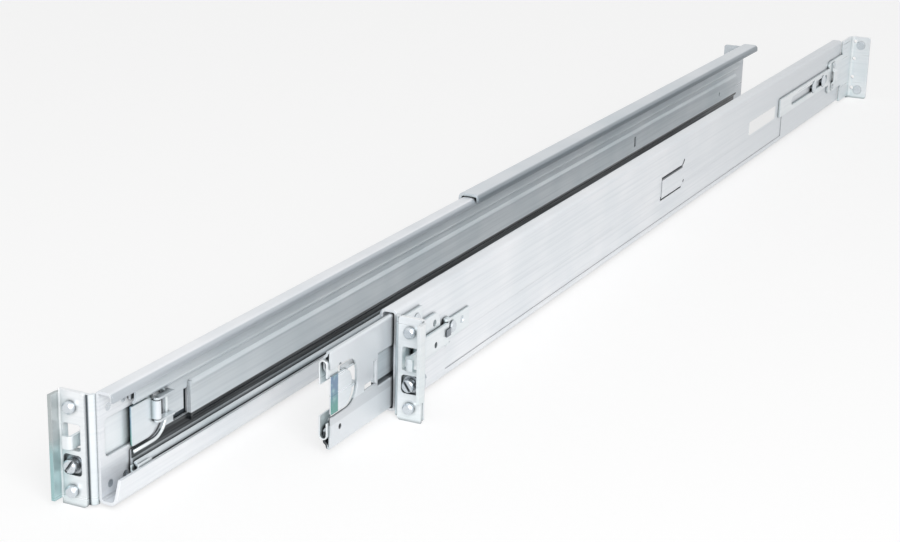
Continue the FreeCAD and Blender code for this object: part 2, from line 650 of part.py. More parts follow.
def front_screw():
    """Slotted captive screw through the bracket's flange and its nut."""
    under = WASHER_THICK
    top = under + SCREW_HEAD_THICK
    reach = BRACKET_SHEET + SCREW_REACH
    radius = SCREW_DIAMETER / 2
    head = SCREW_HEAD / 2
    profile = [(-reach, radius - SCREW_CHAMFER), (-reach + SCREW_CHAMFER, radius), (under, radius),
               (under, head), (top - SCREW_CHAMFER, head), (top, head - SCREW_CHAMFER)]
    screw = turned(profile, (PEG_OFFSET, FLANGE_FACE, SCREW_Z), (0, -1, 0))
    slot = block(PEG_OFFSET - SCREW_HEAD, PEG_OFFSET + SCREW_HEAD, FLANGE_FACE - top - 1,
                 FLANGE_FACE - top + SCREW_SLOT_DEPTH, SCREW_Z - SCREW_SLOT / 2, SCREW_Z + SCREW_SLOT / 2)
    slot.rotate(V(PEG_OFFSET, 0, SCREW_Z), V(0, 1, 0), SCREW_SLOT_TURN)
    return screw.cut(slot)


def screw_nut():
    """Round press nut behind the bracket's flange, flattened under the latch's window."""
    back = FLANGE_FACE + BRACKET_SHEET
    nut = rod((PEG_OFFSET, back, SCREW_Z), (0, 1, 0), NUT_DIAMETER / 2, NUT_THICK)
    trim = block(0, PLATE_WIDTH, back - 1, back + NUT_THICK + 1, WINDOW_LOW - LATCH_FIT, WINDOW_HIGH)
    bore = rod((PEG_OFFSET, back - 1, SCREW_Z), (0, 1, 0), SCREW_DIAMETER / 2 + SCREW_FIT, NUT_THICK + 2)
    return nut.cut([bore, trim])


def latch_arm():
    """Arm with its eye, the jog through the plate's window and the hook in front of it."""
    jog = LATCH_HOOK_OFFSET - LATCH_ARM_U
    bend = LATCH_SHEET
    slope = math.radians(LATCH_SLOPE)
    ramp = (jog - 2 * bend * (1 - math.cos(slope))) / math.sin(slope)
    fall = 2 * bend * math.sin(slope) + ramp * math.cos(slope)
    rear = LATCH_PIN_Y
    nose = LATCH_JOG_START - fall - PLATE_FACE + LATCH_HOOK_SPAN - bend - LATCH_SHEET / 2
    moves = [("run", rear - LATCH_JOG_START, 0), ("turn", LATCH_SLOPE, bend), ("run", ramp, 0),
             ("turn", -LATCH_SLOPE, bend), ("run", nose, 0), ("turn", 90, bend),
             ("run", LATCH_HOOK_REACH - bend, 0)]
    shape = plan_bar((LATCH_ARM_U, rear), 270, LATCH_SHEET, moves, LATCH_BOTTOM, LATCH_TOP)
    wide = PLATE_WIDTH + 2
    front = PLATE_FACE - LATCH_HOOK_SPAN - LATCH_SHEET - 1
    trims = [block(-1, wide, front, LATCH_STEP, LATCH_BOTTOM - 1, LATCH_HOOK_LOW),
             rod((0, LATCH_HOLE_Y, LATCH_HOLE_Z), (1, 0, 0), LATCH_HOLE / 2, LATCH_ARM_U + LATCH_SHEET)]
    tall = LATCH_TOP - LATCH_BOTTOM
    eye = rod((LATCH_PIN_U, LATCH_PIN_Y, LATCH_BOTTOM), (0, 0, 1), LATCH_EYE / 2, tall)
    bore = rod((LATCH_PIN_U, LATCH_PIN_Y, LATCH_BOTTOM - 1), (0, 0, 1), LATCH_PIN / 2 + LATCH_PIN_FIT, tall + 2)
    return shape.cut(trims).fuse(eye).cut(bore).removeSplitter()


def latch_base():
    """Riveted plate with two ears that hold the latch pin."""
    front = LATCH_PIN_Y + LATCH_EYE / 2 + LATCH_FIT
    tall = LATCH_BASE_HIGH - LATCH_BASE_LOW
    base = block(0, LATCH_BASE_SHEET, front, LATCH_BASE_REAR, LATCH_BASE_LOW, LATCH_BASE_HIGH)
    tail = front + LATCH_EYE
    trims = [block(-1, 3, tail, LATCH_BASE_REAR + 1, LATCH_TOP, LATCH_BASE_HIGH + 1),
             block(-1, 3, tail, LATCH_BASE_REAR + 1, LATCH_BASE_LOW - 1, LATCH_BOTTOM)]
    base = base.cut(trims)
    for z in (LATCH_BASE_LOW, LATCH_BASE_HIGH - LATCH_EAR):
        root = front + LATCH_BASE_SHEET
        ear = block(LATCH_EAR_GAP, LATCH_PIN_U + LATCH_EYE / 2, LATCH_PIN_Y, root, z, z + LATCH_EAR)
        round_end = rod((LATCH_PIN_U, LATCH_PIN_Y, z), (0, 0, 1), LATCH_EYE / 2, LATCH_EAR)
        base = base.fuse([ear, round_end])
    holes = [rod((LATCH_PIN_U, LATCH_PIN_Y, LATCH_BASE_LOW - 1), (0, 0, 1), LATCH_PIN / 2, tall + 2)]
    holes.append(rod((-1, BASE_RIVETS[0], BASE_RIVET_Z), (1, 0, 0), RIVET_DIAMETER / 2, LATCH_BASE_SHEET + 2))
    holes.append(sunk_head(BASE_RIVETS[1], SINK_DEPTH))
    holes.append(rod((-1, BASE_RIVETS[1], BASE_RIVET_Z), (1, 0, 0), SINK_LOW / 2, LATCH_BASE_SHEET + 2))
    return base.cut(holes).removeSplitter()


def sunk_head(y, fill):
    """Cone of a countersink in the latch base, filled to a depth from its bottom."""
    low = LATCH_BASE_SHEET - SINK_DEPTH
    widen = (SINK_HIGH - SINK_LOW) / SINK_DEPTH
    return turned([(low, SINK_LOW / 2), (low + fill, (SINK_LOW + widen * fill) / 2)], (0, y, BASE_RIVET_Z),
                  (1, 0, 0))


def latch_pin():
    """Upright pin through the base's ears and the arm's eye."""
    tall = LATCH_BASE_HIGH - LATCH_BASE_LOW
    return rod((LATCH_PIN_U, LATCH_PIN_Y, LATCH_BASE_LOW), (0, 0, 1), LATCH_PIN / 2, tall)


def latch_spring():
    """Leaf spring clamped by the front base rivet; it reaches over the arm's eye and presses the arm in."""
    u = LATCH_BASE_SHEET + LATCH_SPRING_SHEET / 2
    tail = BASE_RIVETS[0] + RIVET_HEAD / 2
    over = LATCH_ARM_U + LATCH_SHEET / 2 + LATCH_FIT + LATCH_SPRING_SHEET / 2 - u
    bend = LATCH_SPRING_SHEET * 2
    slope = math.radians(LATCH_SPRING_SLOPE)
    ramp = (over - 2 * bend * (1 - math.cos(slope))) / math.sin(slope)
    flat = RIVET_HEAD + 0.2
    moves = [("run", flat, 0), ("turn", LATCH_SPRING_SLOPE, bend), ("run", ramp, 0),
             ("turn", -LATCH_SPRING_SLOPE, bend), ("run", LATCH_SPRING_REACH, 0)]
    low = BASE_RIVET_Z - LATCH_SPRING_HALF
    spring = plan_bar((u, tail), 270, LATCH_SPRING_SHEET, moves, low, low + 2 * LATCH_SPRING_HALF)
    return spring.cut(rod((0, BASE_RIVETS[0], BASE_RIVET_Z), (1, 0, 0), RIVET_DIAMETER / 2, 4))


def base_rivets():
    """Two rivets of the latch base: the first also clamps the spring, the second has a sunk head."""
    first = rivet(-SHEET, LATCH_BASE_SHEET + LATCH_SPRING_SHEET, BASE_RIVETS[0], BASE_RIVET_Z)
    low = LATCH_BASE_SHEET - SINK_DEPTH
    shank = rod((-SHEET, BASE_RIVETS[1], BASE_RIVET_Z), (1, 0, 0), SINK_LOW / 2, SHEET + low)
    second = shank.fuse(sunk_head(BASE_RIVETS[1], SINK_FILL)).removeSplitter()
    return Part.makeCompound([first, second])


def flipped(shape):
    """Turn a plate round, so that its face looks rearward at the rear plate's place."""
    out = shape.mirror(V(0, 0, 0), V(0, 1, 0))
    out.translate(V(0, REAR_PLATE, 0))
    return out


def rear_bracket(sleeve):
    """Rear plate, its side plate and the slotted arm; the sleeve form also wraps the rail's top edge."""
    bend = REAR_BEND + BRACKET_SHEET / 2
    u = REAR_SLIDE_GAP + BRACKET_SHEET / 2
    moves = [("run", REAR_SIDE - BRACKET_SHEET / 2 - bend, 0), ("turn", 90, bend),
             ("run", REAR_WIDTH - u - bend, 0)]
    plate = plan_bar((u, REAR_SIDE), 270, BRACKET_SHEET, moves, -REAR_HALF, REAR_HALF)
    foot = block(-1, BRACKET_SHEET + 1, BRACKET_SHEET + REAR_BEND, REAR_SIDE + 1, -REAR_HALF - 1, REAR_SIDE_BOTTOM)
    corners = [e for e in plate.Edges if upright_corner(e, REAR_WIDTH, REAR_HALF)]
    plate = plate.makeFillet(REAR_CORNER, corners).cut(foot)
    length = SLEEVE_LENGTH if sleeve else REAR_ARM
    low, high = (SLEEVE_BOTTOM, REAR_HALF) if sleeve else (REAR_ARM_BOTTOM, REAR_ARM_TOP)
    inner, outer = REAR_SLIDE_GAP, REAR_SLIDE_GAP + BRACKET_SHEET
    pieces = [block(inner, outer, REAR_SIDE - 1, length, low, high)]
    root = round_window(0, REAR_ROOT, *REAR_ROOT_Z, inner, outer, REAR_ROOT_CORNER)
    pieces.append(root.common(block(inner, outer, REAR_SIDE - 1, REAR_ROOT, *REAR_ROOT_Z)))
    if sleeve:
        pieces.append(sleeve_roof(u, length))
    depth = BRACKET_SHEET + 2
    cutters = [slot_along_y(REAR_SLOT[0], REAR_SLOT[1], REAR_SLOT_Z, GUIDE_DIAMETER / 2 + GUIDE_FIT, -1, 4)]
    cutters += [rod((PEG_OFFSET, -1, z), (0, 1, 0), PEG_NECK / 2, depth) for z in (PEG_Z, -PEG_Z)]
    cutters += [rod((REAR_HOLE_OFFSET, -1, z), (0, 1, 0), REAR_HOLE / 2, depth) for z in REAR_HOLE_Z]
    clip_y = REAR_PLATE - (CLIP_FRONT + CLIP_REAR) / 2
    cutters += [rod((-1, clip_y, z), (1, 0, 0), CLIP_RIVET / 2, depth + 1) for z in CLIP_RIVETS_Z]
    return flipped(plate.fuse(pieces).cut(cutters).removeSplitter())


def rear_clip():
    """Upright bridge of thin strip with a riveted foot at each end."""
    start = (REAR_SLIDE_GAP + BRACKET_SHEET + CLIP_SHEET / 2, CLIP_RIVETS_Z[0] - CLIP_FOOT / 2)
    slope = math.radians(CLIP_SLOPE)
    bend = CLIP_BEND + CLIP_SHEET / 2
    ramp = (CLIP_RISE - 2 * bend * (1 - math.cos(slope))) / math.sin(slope)
    climb = 2 * bend * math.sin(slope) + ramp * math.cos(slope)
    span = CLIP_RIVETS_Z[1] - CLIP_RIVETS_Z[0] - CLIP_FOOT - 2 * climb
    moves = [("run", CLIP_FOOT, 0), ("turn", -CLIP_SLOPE, bend), ("run", ramp, 0), ("turn", CLIP_SLOPE, bend),
             ("run", span, 0), ("turn", CLIP_SLOPE, bend), ("run", ramp, 0), ("turn", -CLIP_SLOPE, bend),
             ("run", CLIP_FOOT, 0)]
    strip = section_bar(start, 90, CLIP_SHEET, moves, CLIP_FRONT, CLIP_REAR)
    middle = (CLIP_FRONT + CLIP_REAR) / 2
    return strip.cut([rod((0, middle, z), (1, 0, 0), CLIP_RIVET / 2, CLIP_RISE + 2) for z in CLIP_RIVETS_Z])


def clip_rivets():
    """Two rivets that hold the clip's feet, flush on the bracket's inner face."""
    face = REAR_SLIDE_GAP + BRACKET_SHEET + CLIP_SHEET
    middle = (CLIP_FRONT + CLIP_REAR) / 2
    return Part.makeCompound([rivet(REAR_SLIDE_GAP, face, middle, z, CLIP_RIVET, CLIP_RIVET_HEAD,
                                    CLIP_RIVET_THICK) for z in CLIP_RIVETS_Z])


def sleeve_roof(u, length):
    """Upper part of the sleeve: web, roof over the rail's top flange and a short inboard lip."""
    roof = RAIL_TOP + SLEEVE_GAP + BRACKET_SHEET / 2
    edge = RAIL_DEPTH + SLEEVE_GAP + BRACKET_SHEET / 2
    turn = SLEEVE_BEND + BRACKET_SHEET / 2
    moves = [("run", roof - turn, 0), ("turn", 90, turn), ("run", edge + u - 2 * turn, 0), ("turn", 90, turn),
             ("run", SLEEVE_LIP - turn, 0)]
    return section_bar((u, 0), 90, BRACKET_SHEET, moves, REAR_BEND + BRACKET_SHEET, length)


def guide_rivets():
    """Shoulder rivets on the web that the rear arm slides on."""
    face = REAR_SLIDE_GAP * 2 + BRACKET_SHEET
    return Part.makeCompound([rivet(-SHEET, face, y, REAR_SLOT_Z, RIVET_DIAMETER, GUIDE_HEAD, GUIDE_HEAD_THICK,
                                    GUIDE_DIAMETER) for y in GUIDE_Y])


def rail_pieces(side, middle_front, sleeve, rear_pull):
    """Every piece of one rail, in the rail's own frame."""
    cage_front = CAGE_START + (middle_front - LEFT_MID_FRONT) / 2
    pieces = {
        "outer_rail": outer_rail(not sleeve),
        "front_bracket": front_bracket(),
        "front_bracket_rivets": leaf_rivets(),
        "front_plate": front_plate(side),
        "front_pegs": pegs(PLATE_FACE, PLATE_SHEET + BRACKET_SHEET),
        "screw_washer": screw_washer(),
        "front_screw": front_screw(),
        "screw_nut": screw_nut(),
        "front_latch": latch_arm(),
        "front_latch_base": latch_base(),
        "front_latch_pin": latch_pin(),
        "front_latch_spring": latch_spring(),
        "front_latch_rivets": base_rivets(),
        "middle_rail": middle_rail(middle_front),
        "release_lever": release_lever(middle_front),
        "release_pin": release_pin(middle_front),
        "upper_ball_cage": ball_cage(1, cage_front),
        "lower_ball_cage": ball_cage(-1, cage_front),
        "upper_balls": ball_row(1, cage_front),
        "lower_balls": ball_row(-1, cage_front),
        "rear_guide_rivets": guide_rivets(),
        "rear_bracket": rear_bracket(sleeve),
        "rear_pegs": flipped(pegs(0, BRACKET_SHEET)),
        "rear_clip": rear_clip(),
        "rear_clip_rivets": clip_rivets(),
    }
    for name in ("rear_bracket", "rear_pegs", "rear_clip", "rear_clip_rivets"):
        pieces[name].translate(V(0, rear_pull, 0))
    return pieces


def place_left(shape):
    """Mirror a rail piece and set it where the left rail lies."""
    out = shape.mirror(V(0, 0, 0), V(1, 0, 0))
    out.translate(V(-RAIL_SPACING, -LEFT_ADVANCE, 0))
    return out


def main():
    """Build both rails, put the origin under the middle of the pair and write the parts."""
    nodes = {}
    for name, shape in rail_pieces("right", RIGHT_MID_FRONT, False, 0).items():
        nodes["right_" + name] = shape
    for name, shape in rail_pieces("left", LEFT_MID_FRONT, True, REAR_PULL).items():
        nodes["left_" + name] = place_left(shape)
    box = FreeCAD.BoundBox()
    for shape in nodes.values():
        box.add(shape.BoundBox)
    shift = V(-box.Center.x, -box.Center.y, -box.ZMin)
    os.makedirs("parts", exist_ok=True)
    for name, shape in nodes.items():
        shape.translate(shift)
        shape.exportStep("parts/" + name + ".step")
        solids = len(shape.Solids)
        print(name, solids, round(shape.Volume, 1), shape.isValid())
    print("shift", shift)
    print("size", box.XLength, box.YLength, box.ZLength)


main()
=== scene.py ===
"""Dresses the pair of rack slide rails and sets it in a plain pale studio."""
import bpy
import bmesh
import math
from mathutils import Matrix, Vector


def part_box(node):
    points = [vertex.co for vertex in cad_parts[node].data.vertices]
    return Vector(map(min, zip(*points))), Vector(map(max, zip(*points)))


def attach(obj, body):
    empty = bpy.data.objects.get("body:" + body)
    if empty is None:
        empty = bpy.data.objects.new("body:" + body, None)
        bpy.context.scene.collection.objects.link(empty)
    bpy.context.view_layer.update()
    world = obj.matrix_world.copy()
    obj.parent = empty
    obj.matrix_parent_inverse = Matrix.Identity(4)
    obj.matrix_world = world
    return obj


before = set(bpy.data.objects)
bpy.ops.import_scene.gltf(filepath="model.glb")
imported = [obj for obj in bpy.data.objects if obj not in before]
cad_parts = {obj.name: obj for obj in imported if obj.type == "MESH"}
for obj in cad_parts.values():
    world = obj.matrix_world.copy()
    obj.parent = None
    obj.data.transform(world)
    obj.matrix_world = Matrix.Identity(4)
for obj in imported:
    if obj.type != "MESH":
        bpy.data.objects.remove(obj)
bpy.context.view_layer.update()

MM = 0.001

# Each rail's own frame (outboard, rearward, up) starts at its outer rail's front edge, on the web's
# outboard face. The outer rail reaches this far inboard of it, and down to this height.
RAIL_DEPTH, RAIL_BOTTOM = 7.5, -20.5
OUTBOARD = {"right": 1.0, "left": -1.0}


def rail_origin(side):
    """Where a rail's own frame lies in the part's frame, in millimetres."""
    low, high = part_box(side + "_outer_rail")
    inboard = low[0] if side == "right" else high[0]
    return inboard / MM + OUTBOARD[side] * RAIL_DEPTH, low[1] / MM, low[2] / MM - RAIL_BOTTOM


RAIL_ORIGIN = {side: rail_origin(side) for side in OUTBOARD}


def place(side, u, y, z):
    """A point of a rail's own frame, in metres of the part's frame."""
    ox, oy, oz = RAIL_ORIGIN[side]
    return Vector((ox + OUTBOARD[side] * u, oy + y, oz + z)) * MM


def rail_box(node):
    """A node's lowest and highest corners in its own rail's frame, in millimetres."""
    side = node.split("_")[0]
    ox, oy, oz = RAIL_ORIGIN[side]
    low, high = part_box(node)
    across = sorted(OUTBOARD[side] * (x / MM - ox) for x in (low[0], high[0]))
    return [(across[i], corner[1] / MM - oy, corner[2] / MM - oz) for i, corner in enumerate((low, high))]


def linear(hex_colour):
    """sRGB hex to linear RGBA."""
    out = []
    for i in (0, 2, 4):
        c = int(hex_colour[i:i + 2], 16) / 255
        out.append(c / 12.92 if c <= 0.04045 else ((c + 0.055) / 1.055) ** 2.4)
    return (*out, 1.0)


def add(tree, kind, links=(), **settings):
    """Adds a node, sets its values or inputs by name, and links (socket, source) pairs into it."""
    node = tree.nodes.new(kind)
    for key, value in settings.items():
        if key.startswith("in_"):
            name = key[3:]
            node.inputs[int(name) if name.isdigit() else name.replace("_", " ")].default_value = value
        else:
            setattr(node, key, value)
    for socket, source in links:
        tree.links.new(source, node.inputs[socket])
    return node


def shader(name, colour, metallic, roughness):
    """A new material with its Principled shader and the Object coordinates that its patterns read."""
    material = bpy.data.materials.new(name)
    material.use_nodes = True
    tree = material.node_tree
    surface = tree.nodes["Principled BSDF"]
    surface.inputs["Base Color"].default_value = linear(colour)
    surface.inputs["Metallic"].default_value = metallic
    surface.inputs["Roughness"].default_value = roughness
    coordinates = add(tree, "ShaderNodeTexCoord").outputs["Object"]
    return material, tree, surface, coordinates


# Colour sockets of a Mix node, which shares their names with its other kinds of socket.
MIX_LOW, MIX_HIGH, MIX_RESULT = 6, 7, 2


def blend(tree, low, high, factor):
    """Mixes two hex colours or colour sockets by a factor socket."""
    mix = add(tree, "ShaderNodeMix", [("Factor", factor)], data_type="RGBA")
    for index, value in ((MIX_LOW, low), (MIX_HIGH, high)):
        if isinstance(value, str):
            mix.inputs[index].default_value = linear(value)
        else:
            tree.links.new(value, mix.inputs[index])
    return mix.outputs[MIX_RESULT]


def ramp(tree, value, low, high, to_low=0.0, to_high=1.0):
    """Spreads a value's range from low to high over a new one, clamped."""
    return add(tree, "ShaderNodeMapRange", [("Value", value)], in_From_Min=low, in_From_Max=high,
               in_To_Min=to_low, in_To_Max=to_high).outputs["Result"]


def both(tree, first, second):
    """Where two masks overlap."""
    return add(tree, "ShaderNodeMath", [(0, first), (1, second)], operation="MULTIPLY").outputs[0]


def band(tree, value, low, high, fade):
    """1 between two levels of a value and 0 beyond a soft edge."""
    return both(tree, ramp(tree, value, low - fade, low), ramp(tree, value, high, high + fade, 1.0, 0.0))


def rail_frame(tree, coordinates):
    """How far outboard, rearward and up a point lies, in millimetres. Outboard and up are in its own
    rail's frame, because the rails mirror each other, and rearward is from the left rail's front."""
    split = add(tree, "ShaderNodeSeparateXYZ", [(0, coordinates)]).outputs
    across = add(tree, "ShaderNodeMath", [(0, split["X"])], operation="ABSOLUTE").outputs[0]
    starts = RAIL_ORIGIN["right"][0], RAIL_ORIGIN["left"][1], RAIL_ORIGIN["right"][2]
    measured = []
    for value, start in zip((across, split["Y"], split["Z"]), starts):
        scaled = add(tree, "ShaderNodeMath", [(0, value)], operation="MULTIPLY_ADD", in_1=1 / MM, in_2=-start)
        measured.append(scaled.outputs[0])
    return measured


def streaks(tree, coordinates, length, width, detail=3.0):
    """Noise drawn out along the rails, with a streak's length and width in millimetres."""
    grain = add(tree, "ShaderNodeMapping", [("Vector", coordinates)],
                in_Scale=(1 / (length * MM), 1 / (length * MM), 1 / (width * MM)))
    return add(tree, "ShaderNodeTexNoise", [("Vector", grain.outputs[0])], in_Scale=1.0,
               in_Detail=detail).outputs["Fac"]


def clouds(tree, coordinates, size, detail=2.0):
    """Noise in soft patches of a size in millimetres."""
    return add(tree, "ShaderNodeTexNoise", [("Vector", coordinates)], in_Scale=1 / (size * MM),
               in_Detail=detail).outputs["Fac"]


# How finely inside corners and rounded edges are sampled.
CORNER_SAMPLES, EDGE_SAMPLES = 8, 4


def corners(tree, reach):
    """1 on open faces, less towards seams, gaps and inside corners within a reach in millimetres."""
    return add(tree, "ShaderNodeAmbientOcclusion", samples=CORNER_SAMPLES,
               in_Distance=reach * MM).outputs["AO"]


def raised(tree, surface, noise, strength, depth):
    """Gives a surface a relief from noise, of a strength and a depth in millimetres."""
    bump = add(tree, "ShaderNodeBump", [("Height", noise)], in_Strength=strength, in_Distance=depth * MM)
    tree.links.new(bump.outputs[0], surface.inputs["Normal"])


# Zinc-plated sheet: how metallic it is, the length and width of its rolling streaks, the size of the
# clouds in its blue-green film, and the radius that its sheared edges are rounded to.
SHEET_METALLIC = 0.45
ROLLING_STREAK = (90, 1.2)
FILM_CLOUD = 40
EDGE_ROUND = 0.3

# Levels of noise or openness between which clouds, streaks, gloss, painted corner shade and pooled film set
# in.
CLOUD_FADE = (0.38, 0.66)
STREAK_FADE = (0.45, 0.8)
GLOSS_FADE = (0.3, 0.7)
CORNER_SHADE_FADE = (0.3, 0.82)
POOL_FADE = (0.45, 0.85)

# How far a sheet's roughness, and then a turned part's, strays below and above its mean.
SHEET_GLOSS = (0.05, 0.07)
TURNED_GLOSS = (0.06, 0.1)

# How far painted shade and pooled film reach from a corner, and how dark the painted shade is there.
CORNER_SHADE_REACH, POOL_REACH = 2.5, 6.0
CORNER_SHADE = 0.95


def zinc_sheet(name, pale, cool, worn, roughness, streaked=0.3):
    """Cold-rolled steel sheet, bright zinc plated and blue passivated: near white, with long faint
    rolling streaks, soft cloudy patches of blue-green film, a satin sheen and rolled-over edges."""
    material, tree, surface, coordinates = shader(name, pale, SHEET_METALLIC, roughness)
    streak = streaks(tree, coordinates, *ROLLING_STREAK)
    tint = blend(tree, pale, cool, ramp(tree, clouds(tree, coordinates, FILM_CLOUD), *CLOUD_FADE))
    colour = blend(tree, tint, worn, ramp(tree, streak, *STREAK_FADE, 0.0, streaked))
    smoother, rougher = SHEET_GLOSS
    rough = ramp(tree, streak, *GLOSS_FADE, roughness - smoother, roughness + rougher)
    tree.links.new(rough, surface.inputs["Roughness"])
    edge = add(tree, "ShaderNodeBevel", samples=EDGE_SAMPLES, in_Radius=EDGE_ROUND * MM)
    tree.links.new(edge.outputs[0], surface.inputs["Normal"])
    return material, tree, surface, coordinates, colour


def shade_corners(material, tree, surface, colour):
    """Paints shade over a colour in seams, gaps and inside corners, darker the more closed in they are."""
    corner_shade = ramp(tree, corners(tree, CORNER_SHADE_REACH), *CORNER_SHADE_FADE, CORNER_SHADE, 0.0)
    # Painted shade: the colour darkens towards 23292E in seams, gaps and inside corners.
    tree.links.new(blend(tree, colour, "23292E", corner_shade), surface.inputs["Base Color"])
    return material


# How far inboard the upper lips of the outer rail and of the sleeve are rubbed grey, and how high.
OUTER_RUBBED, SLEEVE_RUBBED = (-6.3, -6.8), (-8.0, -8.8)
RUBBED_HEIGHT = (15.0, 16.0)


def rubbed(tree, outboard, height, inboard, strength):
    """An upper lip from a place inboard on, where it is rubbed grey to a strength."""
    return both(tree, ramp(tree, outboard, *inboard), ramp(tree, height, *RUBBED_HEIGHT, 0.0, strength))


# Painted shade, streaked like old grease, on the inboard face of the outer rail's web: the depth of that
# face and the heights that it covers, each with its soft edge, where it starts and fades out rearwards, and
# its streaks. It is on the left rail alone, because the right one starts further back than the shade reaches.
WEB_FACE, WEB_FACE_FADE = (-1.4, -0.8), 0.1
WEB_SHADE_HEIGHT, WEB_SHADE_FADE = (-17.0, 18.8), 0.2
WEB_SHADE_START, WEB_SHADE_END = (39.0, 40.0), (55.0, 95.0)
WEB_SHADE_STREAK, WEB_SHADE_STREAK_FADE = (60, 1.5), (0.4, 0.7)

# How far back along the outer rail a painted shade starts to darken it, and where it is darkest.
REAR_SHADE_SPAN = (380.0, 640.0)


def outer_rail_zinc():
    """The outer rails: bright outside with painted shade darkening them rearwards, rubbed grey on the upper
    lip, and on the left painted dark shade, streaked like grease, behind the middle rail's front end."""
    material, tree, surface, coordinates, colour = zinc_sheet(
        "blue_zinc_plated_rail_steel", "EFF1F4", "E6EAEE", "BEC5CC", 0.36)
    outboard, rearward, height = rail_frame(tree, coordinates)
    # Painted shade: the colour darkens towards DDE1E5 rearwards, where less light reaches.
    colour = blend(tree, colour, "DDE1E5", ramp(tree, rearward, *REAR_SHADE_SPAN))
    colour = blend(tree, colour, "AEB6BD", rubbed(tree, outboard, height, OUTER_RUBBED, 0.8))
    inner_face = both(tree, band(tree, outboard, *WEB_FACE, WEB_FACE_FADE),
                      band(tree, height, *WEB_SHADE_HEIGHT, WEB_SHADE_FADE))
    web_shade_span = both(tree, ramp(tree, rearward, *WEB_SHADE_START), ramp(tree, rearward, *WEB_SHADE_END, 1.0, 0.0))
    web_shaded = both(tree, inner_face, web_shade_span)
    streak = ramp(tree, streaks(tree, coordinates, *WEB_SHADE_STREAK), *WEB_SHADE_STREAK_FADE)
    # Painted shade: the web's inboard face is darkened to streaks of 30373D and 4F585F.
    web_shade = blend(tree, "30373D", "4F585F", streak)
    # Painted shade is laid over the colour in its seams and corners.
    return shade_corners(material, tree, surface, blend(tree, colour, web_shade, web_shaded))


# Depths between which the middle rail turns from its darker inboard side to its lighter outboard one, painted
# as its shaded and lit sides.
LIT_SIDE = (-2.3, -1.9)

# Painted shade in the middle rail's lower hollow, streaked like a film of grease: its heights with their soft
# edge, its streaks' length, width and detail, how much the streaks thin it, and how much of it is left
# outboard.
HOLLOW_HEIGHT, HOLLOW_FADE = (-9.0, -4.2), 0.3
HOLLOW_STREAK, HOLLOW_STREAK_FADE = (60, 0.9, 4.0), (0.3, 0.6)
HOLLOW_THIN, HOLLOW_OUTBOARD = 0.85, 0.15

# Painted shade on the middle rail's lower lip: how far inboard and how low it starts, and how dark it is.
LIP_SHADE_DEPTH, LIP_SHADE_HEIGHT = (-3.0, -3.3), (-11.8, -12.0)
LIP_SHADE = 0.9


def middle_rail_zinc():
    """The middle rails: painted lighter outboard and darker inboard, as their lit and shaded sides, with
    dark painted shade, streaked like grease, in the lower hollow and on the lower lip."""
    material, tree, surface, coordinates, colour = zinc_sheet(
        "zinc_plated_middle_rail_with_painted_shade", "D8DEE2", "CAD3D8", "A2ABB2", 0.34)
    outboard, _, height = rail_frame(tree, coordinates)
    bright = ramp(tree, outboard, *LIT_SIDE)
    # Painted light: the outboard side is set to the lighter DFE3E7, and the inboard side stays darker.
    colour = blend(tree, colour, "DFE3E7", bright)
    # Streaks that thin the painted shade in the hollow.
    film = ramp(tree, streaks(tree, coordinates, *HOLLOW_STREAK), *HOLLOW_STREAK_FADE, HOLLOW_THIN, 1.0)
    hollow = both(tree, film, band(tree, height, *HOLLOW_HEIGHT, HOLLOW_FADE))
    hollow = both(tree, hollow, ramp(tree, bright, 0.0, 1.0, 1.0, HOLLOW_OUTBOARD))
    # Painted shade: the lower hollow is darkened towards 171B1F, mostly on the inboard side.
    colour = blend(tree, colour, "171B1F", hollow)
    # Painted shade: the lower lip is darkened towards 1C2125.
    lip = both(tree, ramp(tree, outboard, *LIP_SHADE_DEPTH),
               ramp(tree, height, *LIP_SHADE_HEIGHT, 0.0, LIP_SHADE))
    # Painted shade is laid over the colour in its seams and corners.
    return shade_corners(material, tree, surface, blend(tree, colour, "1C2125", lip))


def bracket_zinc(name, pale, cool, pooled):
    """Bracket and latch sheet, where the blue-green passivation pools round holes, hooks and bends."""
    material, tree, surface, coordinates, colour = zinc_sheet(name, pale, cool, "C0C9CF", 0.32, 0.2)
    pool = ramp(tree, corners(tree, POOL_REACH), *POOL_FADE, pooled, 0.0)
    return material, tree, surface, coordinates, blend(tree, colour, "9CC6C8", pool)


def plain_bracket_zinc():
    """The right rear bracket, the latches with their bases, and the clips."""
    material, tree, surface, _, colour = bracket_zinc("zinc_plated_bracket_steel", "EEF1F3", "E3EAED", 0.25)
    # Painted shade is laid over the colour in its seams and corners.
    return shade_corners(material, tree, surface, colour)


def sleeve_zinc():
    """The left rear bracket, which wraps the rail: painted darker than the others for its shade, rubbed grey
    on its inboard lip.
    """
    # Painted shade: the sleeve's whole colour is set darker, to D6DBE0 and CAD2D8.
    material, tree, surface, coordinates, colour = bracket_zinc(
        "zinc_plated_sleeve_painted_darker_for_shade", "D6DBE0", "CAD2D8", 0.3)
    outboard, _, height = rail_frame(tree, coordinates)
    worn = rubbed(tree, outboard, height, SLEEVE_RUBBED, 0.9)
    # Painted shade is laid over the colour in its seams and corners.
    return shade_corners(material, tree, surface, blend(tree, colour, "8B949B", worn))


# Painted line of shade on the front bracket in the seam beside the front plate's inboard edge, with its soft
# edge, and how far forward a face has to point to carry it.
SEAM_SHADE_LINE, SEAM_SHADE_FADE = (2.0, 3.0), 0.5
FACES_FRONT = (-0.6, -0.9)


